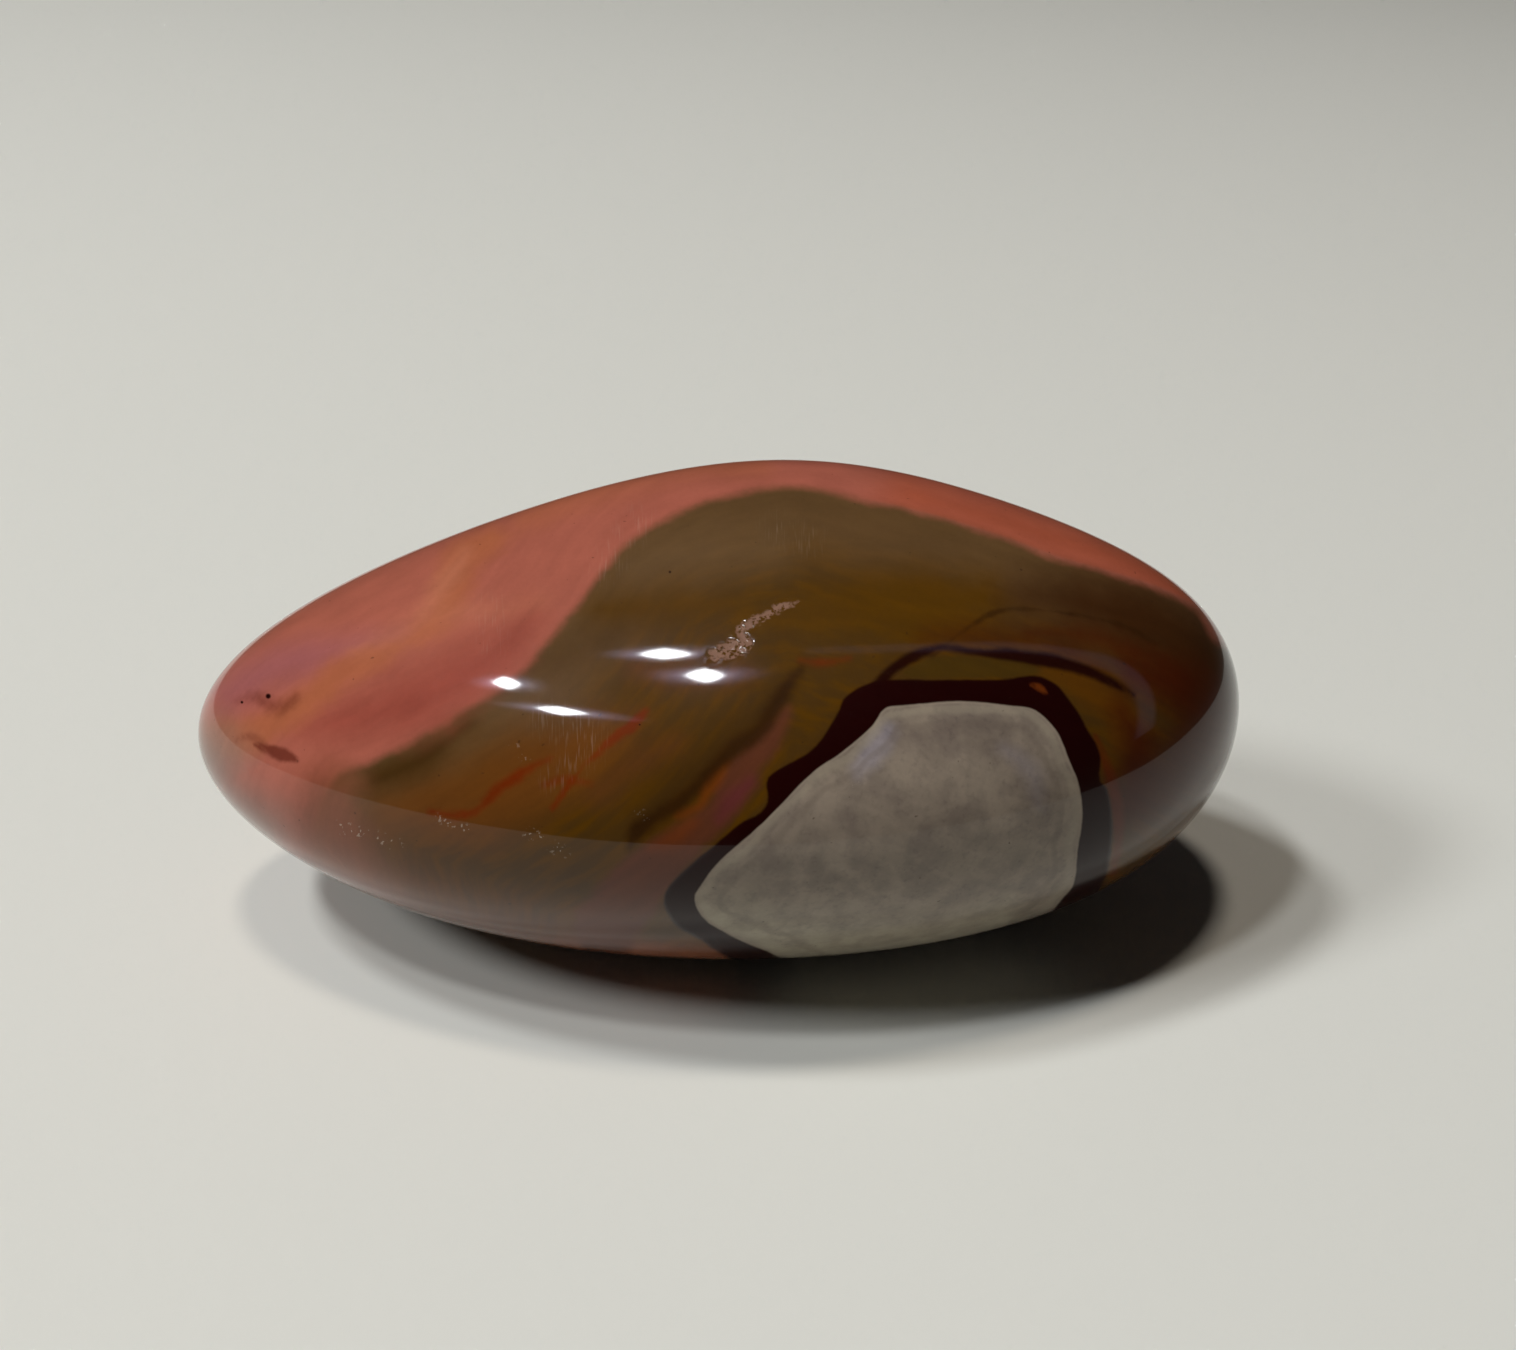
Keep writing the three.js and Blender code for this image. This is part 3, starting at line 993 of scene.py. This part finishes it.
    def lay_stains_and_light(self, pen: Pen, place: Wire, colour: Wire) -> Wire:
        """Lays every marking over the ground in turn, the painted sheen, highlights and shade among them.

        Args:
            pen: Draws the nodes.
            place: The point in millimetres.
            colour: The ground.

        Returns:
            The colour with all markings.
        """
        ways = pen.parts(pen.noise(place, self.wander, "Color"))
        frizz = pen.sway(pen.noise(place, self.frizz), self.frizz)
        for number, stain_or_light in enumerate(STAINS_AND_LIGHT):
            wobble = pen.sway(ways[number % 3], self.wander) + frizz
            depth = pen.stored(stain_or_light.name) + wobble * stain_or_light.wobble
            share = pen.fade(depth, -stain_or_light.soft, stain_or_light.soft) * stain_or_light.strength
            if stain_or_light.within:
                share = share * pen.fade(pen.stored(stain_or_light.within), *self.inner_edge)
            colour = pen.mix(colour, stain_or_light.tone.colour(), share)
        return colour

    def mottle(self, pen: Pen, place: Wire, streaks: Wire, colour: Wire) -> Wire:
        """Clouds the colour with lighter and darker flow, grain and specks."""
        shade = self.plain_shade + streaks * self.streaks.cover
        for grain in (self.clouds, self.fine_grain):
            shade = shade + pen.noise(place, grain) * grain.cover
        shaded = pen.mix(colour, pen.join(shade, shade, shade), 1.0, "MULTIPLY")
        return pen.mix(shaded, Tone.SPECK.colour(), pen.flecks(place, self.specks))

    def cloud_eye(self, pen: Pen, place: Wire, colour: Wire) -> Wire:
        """Clouds the pale eye and gives it its light rim and the dark line within."""
        depth = pen.stored("eye")
        clouds = pen.flecks(place, self.blotches) + pen.flecks(place, self.freckles)
        darker = clouds * pen.fade(depth, *self.eye_edge)
        colour = pen.mix(colour, pen.mix(colour, Tone.EYE_VEIL.colour(), 1.0, "MULTIPLY"), darker)
        wander = depth + pen.sway(pen.noise(place, self.eye_wander), self.eye_wander)
        for tone, (outer, inner, cover) in ((Tone.EYE_PALE, self.eye_rim), (Tone.EYE_DARK, self.eye_line)):
            share = pen.fade(wander, *outer) * pen.fade(wander, *inner)
            colour = pen.mix(colour, tone.colour(), share * cover)
        return colour

    def scratch(self, pen: Pen, chart: Wire) -> Wire:
        """Draws short fine scratches, nearly upright in the photograph, where the crest is worn."""
        lines = pen.flecks(pen.vector("MULTIPLY", chart, self.scratch_stretch), self.scratches)
        return lines * pen.fade(pen.stored("worn"), *self.scratch_area)

    def dust_nicks(self, pen: Pen, flat: Wire) -> Wire:
        """Draws pale grains caught in small nicks along the lower front."""
        return pen.flecks(flat, self.dust) * pen.fade(pen.stored("nicked"), *self.dust_area)

    def pits(self, pen: Pen, flat: Wire) -> Wire:
        """Draws the dark pinholes, on the side that the photograph shows."""
        share: Wire | float = 0.0
        for across, rise, radius in self.pinholes:
            gap = pen.vector("DISTANCE", flat, (across, rise, 0.0))
            hole = pen.fade(gap, *(radius * edge for edge in self.pinhole_edge))
            share = pen.math("MAXIMUM", share, hole)
        return share * pen.fade(pen.stored("hidden"), *self.pinhole_side)

    def vein(self, pen: Pen, place: Wire) -> Wire:
        """Draws the rough vein as broken crumbs of unpolished stone."""
        depth = pen.stored("vein") + pen.sway(pen.noise(place, self.vein_wander), self.vein_wander)
        return pen.fade(depth, *self.vein_edge) * pen.flecks(place, self.crumbs)


@dataclass(frozen=True)
class HandWear:
    """What hand polishing left: a faint ripple, and pits along the rough vein. In millimetres."""

    ripple_height: float = 0.02
    ripple_size: float = 9.0
    pit_depth: float = 0.07
    pit_size: float = 0.8
    pit_area: Point = (-0.4, 0.3)
    pit_cut: Point = (0.4, 0.6)
    rest_margin: float = 2.0
    seed: float = 3.0
    pit_seed_shift: float = 5.0

    def tree(self) -> bpy.types.NodeTree:
        """Draws the geometry tree that moves the skin.

        Returns:
            The tree, with its sizes as named inputs.
        """
        sockets = {"Geometry": "Geometry", **dict.fromkeys(
            ("Ripple Height", "Ripple Size", "Pit Depth", "Pit Size", "Rest Height", "Seed"), "Float")}
        pen, size = start_group("hand_wear", sockets | {"Finish": "Material"})
        place = pen.scale(pen.wire("GeometryNodeInputPosition"), 1 / MM)
        waves, lumps = (pen.wire("ShaderNodeTexNoise", {"noise_dimensions": "4D"}, {
            "Vector": place, "W": size["Seed"] + later, "Scale": 1 / size[name], "Detail": 1.0})
            for name, later in (("Ripple Size", 0.0), ("Pit Size", self.pit_seed_shift)))
        ripple = (waves - 0.5) * 2.0 * size["Ripple Height"]
        vein = pen.wire("GeometryNodeInputNamedAttribute", {"data_type": "FLOAT"}, {"Name": "vein"})
        pits = pen.fade(vein, *self.pit_area) * pen.fade(lumps, *self.pit_cut) * size["Pit Depth"]
        clear_of_rest = pen.fade(pen.parts(place)[2] - size["Rest Height"], 0.0, self.rest_margin)
        shift = (ripple - pits) * clear_of_rest * MM
        offset = pen.scale(pen.wire("GeometryNodeInputNormal"), shift)
        moved = pen.wire("GeometryNodeSetPosition", {}, {"Geometry": size["Geometry"], "Offset": offset})
        return finish_group(pen, moved, size["Finish"])

    def apply(self, piece: bpy.types.Object, finish: bpy.types.Material) -> None:
        """Wears a piece's skin.

        Args:
            piece: The stone's skin with its marking attributes.
            finish: The material of the polished stone.
        """
        run_tree(piece, self.tree(), {
            "Ripple Height": self.ripple_height, "Ripple Size": self.ripple_size,
            "Pit Depth": self.pit_depth, "Pit Size": self.pit_size, "Seed": self.seed,
            "Rest Height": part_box(NODE)[0].z / MM, "Finish": finish})


# Studio


def hide_from(piece: bpy.types.Object, *rays: str) -> None:
    """Hides an object from some kinds of ray, such as camera or shadow."""
    for ray in rays:
        setattr(piece, f"visible_{ray}", False)


def square(half: float, height: float) -> list[Place]:
    """Returns the corners of a level square."""
    return [(half * x, half * y, height) for x, y in CORNERS]


@dataclass(frozen=True)
class Lamp:
    """A soft lamp: where it hangs as seen from the stone, its width in metres and its power in watts."""

    name: str
    towards: Place
    width: float
    power: float
    tint: Place = (1.0, 1.0, 0.98)
    away: float = 2.4

    def hang(self) -> None:
        """Makes the lamp, which looks at the stone and isn't mirrored in it."""
        data = bpy.data.lights.new(self.name, "AREA")
        data.shape = "DISK"
        data.size = self.width
        data.energy = self.power
        data.color = self.tint
        lamp = bpy.data.objects.new(self.name, data)
        lamp.location = Vector(self.towards).normalized() * self.away
        lamp.rotation_euler = (-lamp.location).to_track_quat("-Z", "Y").to_euler()
        hide_from(lamp, "glossy")
        bpy.context.scene.collection.objects.link(lamp)


@dataclass(frozen=True)
class Glint:
    """A lamp as only the polish shows it: where it hangs, and the size of its bright core in metres.

    Its face is larger than the core by the margin. The spread over the face is 1 at the
    core's edge.
    """

    name: str
    towards: Place
    core: Point
    away: float = 1.2
    margin: Point = (4.0, 3.0)

    def corners(self) -> list[Place]:
        """Returns the corners of its face, long side along X, looking at the stone."""
        out = Vector(self.towards).normalized()
        along = (Vector((1, 0, 0)) - out * out.x).normalized()
        across = out.cross(along)
        half = (self.core[0] / 2 * self.margin[0], self.core[1] / 2 * self.margin[1])
        return [tuple(out * self.away + along * half[0] * x + across * half[1] * y) for x, y in CORNERS]

    def spread(self) -> list[Point]:
        """Returns the spread at each corner of its face."""
        return [(x * self.margin[0], y * self.margin[1]) for x, y in CORNERS]


@dataclass(frozen=True)
class GlintLight:
    """The light of a glint over its spread: a bright core, a pointed tail and a haze, both bluish."""

    core_edge: Point = (1.15, 0.75)
    core_light: float = 70.0
    haze_shape: Place = (0.42, 0.85, 0)
    haze_edge: Point = (1.5, 1.0)
    tail_light: float = 34.0
    tail_fall: float = -3.6
    haze_light: float = 3.0
    haze_fall: float = -2.0
    tint_edge: Point = (1.4, 0.8)
    haze_tint: Colour = (0.62, 0.66, 1.0, 1)
    core_tint: Colour = (0.95, 0.97, 1.0, 1)

    def build(self) -> bpy.types.Material:
        """Makes the material.

        Returns:
            The glowing material, which reads the spread of the face.
        """
        material, pen = start_material("glint_glow")
        spread = pen.wire("ShaderNodeUVMap", {"uv_map": "spread"})
        corner = pen.vector("DOT_PRODUCT", pen.vector("ABSOLUTE", spread), (1, 1, 0))
        off = (pen.vector("LENGTH", spread) + corner) * 0.5
        core = pen.fade(off, *self.core_edge) * self.core_light
        wide = pen.vector("LENGTH", pen.vector("MULTIPLY", spread, self.haze_shape))
        tail = pen.math("EXPONENT", wide * self.tail_fall) * self.tail_light
        haze = pen.math("EXPONENT", wide * wide * self.haze_fall) * self.haze_light
        tint = pen.mix(self.haze_tint, self.core_tint, pen.fade(off, *self.tint_edge))
        pen.glow(pen.scale(tint, core + (tail + haze) * pen.fade(wide, *self.haze_edge)))
        return material


@dataclass(frozen=True)
class CrestLine:
    """The long strip of light that the polish shows as a thin line along the crest. In metres."""

    ends: tuple[Place, Place] = ((0.95, -0.31, 0.0), (0.1, 0.184, 0.97))
    away: float = 2.6
    widths: Point = (0.3, 0.036)
    steps: int = 24
    light: float = 0.42
    tint: Place = (0.62, 0.66, 1.0)
    soft_sides: Point = (1.0, 0.35)
    soft_start: Point = (-1.0, -0.55)

    def shape(self) -> tuple[list[Place], list[tuple[int, ...]], list[Point]]:
        """Works out the strip's mesh.

        Returns:
            Its points, the point numbers of each face, and the spread at each point.
        """
        first, last = (Vector(end).normalized() * self.away for end in self.ends)
        across = (last - first).cross(first + last).normalized() / 2
        points, spread = [], []
        for step in range(self.steps + 1):
            share = step / self.steps
            width = self.widths[0] + (self.widths[1] - self.widths[0]) * share
            for side in (-1.0, 1.0):
                points.append(tuple(first.lerp(last, share) + across * width * side))
                spread.append((side, 2 * share - 1))
        faces = [(2 * step, 2 * step + 1, 2 * step + 3, 2 * step + 2) for step in range(self.steps)]
        return points, faces, spread

    def glow(self) -> bpy.types.Material:
        """Makes the strip's light.

        Returns:
            The material, soft at the strip's sides and fading in at its low end.
        """
        material, pen = start_material("ceiling_line_glow")
        side, run, _ = pen.parts(pen.wire("ShaderNodeUVMap", {"uv_map": "spread"}))
        light = pen.fade(pen.math("ABSOLUTE", side), *self.soft_sides) * pen.fade(run, *self.soft_start)
        pen.glow(pen.scale(self.tint, light * self.light))
        return material


@dataclass(frozen=True)
class Studio:
    """The pale floor, the soft light and what the polish mirrors. Lengths are in metres."""

    floor_half: float = 3.0
    floor_tone: Colour = (0.74, 0.755, 0.73, 1)
    floor_roughness: float = 0.6
    floor_gloss: float = 0.25
    backdrop_radius: float = 2.9
    backdrop_foot: float = -0.01
    backdrop_tone: Colour = (1.0, 0.98, 0.95, 1)
    backdrop_light: float = 0.3
    surround_radius: float = 0.3
    surround_height: float = 0.07
    surround_tone: Colour = (0.035, 0.022, 0.012, 1)
    room_tone: Colour = (1.0, 0.95, 0.9, 1)
    room_light: float = 0.012
    wall_sides: int = 96
    lamps: tuple[Lamp, ...] = (
        Lamp("soft_overhead", (-0.09, -0.02, 1.0), 0.3, 12.0, (1.0, 0.88, 0.74)),
        Lamp("soft_left", (-0.545, -0.037, 1.0), 0.3, 16.5),
        Lamp("soft_left_front", (-0.477, -0.27, 1.0), 0.2, 11.5),
        Lamp("soft_far_left", (-1.055, -0.377, 1.0), 0.5, 19.0),
    )
    glints: tuple[Glint, ...] = (
        Glint("glint_left_back", (-0.313, 0.056, 0.948), (0.07, 0.085)),
        Glint("glint_left_front", (-0.229, -0.064, 0.971), (0.12, 0.056)),
        Glint("glint_right_back", (-0.051, 0.186, 0.981), (0.082, 0.038)),
        Glint("glint_right_front", (0.004, 0.12, 0.993), (0.066, 0.056)),
    )

    def build(self) -> None:
        """Makes the floor, the lights and the surroundings."""
        self.floor()
        self.backdrop()
        self.surround()
        self.room()
        for lamp in self.lamps:
            lamp.hang()
            LOG.info("%s gives %.1f watts", lamp.name, lamp.power)
        glow = GlintLight().build()
        for glint in self.glints:
            self.gloss_only(self.stage_mesh(
                glint.name, glint.corners(), [(0, 1, 2, 3)], glow, glint.spread()))
        line = CrestLine()
        points, faces, spread = line.shape()
        self.gloss_only(self.stage_mesh("ceiling_line", points, faces, line.glow(), spread))

    def stage_mesh(self, name: str, points: list[Place], faces: list[tuple[int, ...]],
                   material: bpy.types.Material, spread: Sequence[Point] = ()) -> bpy.types.Object:
        """Makes a mesh of the studio that isn't part of the stone.

        Args:
            name: The object's name.
            points: Its corners in metres.
            faces: Corner numbers of each face.
            material: Its finish.
            spread: Where each corner lies on the spread of its light, if it has one.

        Returns:
            The object.
        """
        mesh = bpy.data.meshes.new(name)
        mesh.from_pydata(points, [], faces)
        mesh.materials.append(material)
        if spread:
            layer = mesh.uv_layers.new(name="spread")
            for loop in mesh.loops:
                layer.data[loop.index].uv = spread[loop.vertex_index]
        piece = bpy.data.objects.new(name, mesh)
        bpy.context.scene.collection.objects.link(piece)
        LOG.info("%s has %d faces", name, len(faces))
        return piece

    @staticmethod
    def gloss_only(piece: bpy.types.Object) -> None:
        """Lets only the polish see an object."""
        hide_from(piece, "camera", "diffuse", "shadow", "transmission")

    def floor(self) -> None:
        """Makes the pale floor."""
        material, pen = start_material("pale_floor")
        pen.show(pen.wire("ShaderNodeBsdfPrincipled", {}, {
            "Base Color": self.floor_tone, "Roughness": self.floor_roughness,
            "Specular IOR Level": self.floor_gloss}))
        self.stage_mesh("floor", square(self.floor_half, 0.0), [(0, 1, 2, 3)], material)

    def ring_wall(self, name: str, radius: float, low: float, high: float,
                  material: bpy.types.Material) -> bpy.types.Object:
        """Makes an upright wall round the stone."""
        sides = self.wall_sides
        turns = [2 * math.pi * side / sides for side in range(sides)]
        points = [(radius * math.cos(turn), radius * math.sin(turn), height)
                  for height in (low, high) for turn in turns]
        faces = [(side, (side + 1) % sides, sides + (side + 1) % sides, sides + side)
                 for side in range(sides)]
        return self.stage_mesh(name, points, faces, material)

    def backdrop(self) -> None:
        """Makes the pale backdrop, which only the camera sees."""
        radius = self.backdrop_radius
        pale, pen = start_material("pale_backdrop")
        pen.glow(self.backdrop_tone, self.backdrop_light)
        wall = self.ring_wall("backdrop_wall", radius, self.backdrop_foot, radius, pale)
        roof = self.stage_mesh("backdrop_roof", square(radius, radius), [(0, 1, 2, 3)], pale)
        for piece in (wall, roof):
            hide_from(piece, "glossy", "diffuse", "shadow")

    def surround(self) -> None:
        """Makes the dim wall that the polish mirrors beyond the floor."""
        dim, pen = start_material("dim_surround")
        pen.glow(self.surround_tone)
        self.gloss_only(self.ring_wall("dim_surround", self.surround_radius, 0.0, self.surround_height, dim))

    def room(self) -> None:
        """Makes the dark room behind everything."""
        world = bpy.data.worlds.new("dark_room")
        world.use_nodes = True
        pen = Pen(world.node_tree)
        dark = pen.wire("ShaderNodeBackground", {}, {"Color": self.room_tone, "Strength": self.room_light})
        pen.draw("ShaderNodeOutputWorld", {}, {"Surface": dark})
        bpy.context.scene.world = world


def main() -> None:
    """Builds the stone, its markings and finish, the studio and the camera."""
    logging.basicConfig(level=logging.INFO, format="%(name)s: %(message)s")
    view = PhotoView()
    finish = PolishedJasper().build()
    stone = GroundStone().build(finish)
    Markings(view).write(stone)
    HandWear().apply(stone, finish)
    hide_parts(NODE)
    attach(stone, "root")
    LOG.info("%s has %d points", stone.name, len(stone.data.vertices))
    Studio().build()
    view.build_camera()
    bpy.context.scene.view_settings.view_transform = "Standard"


if __name__ == "__main__":
    main()
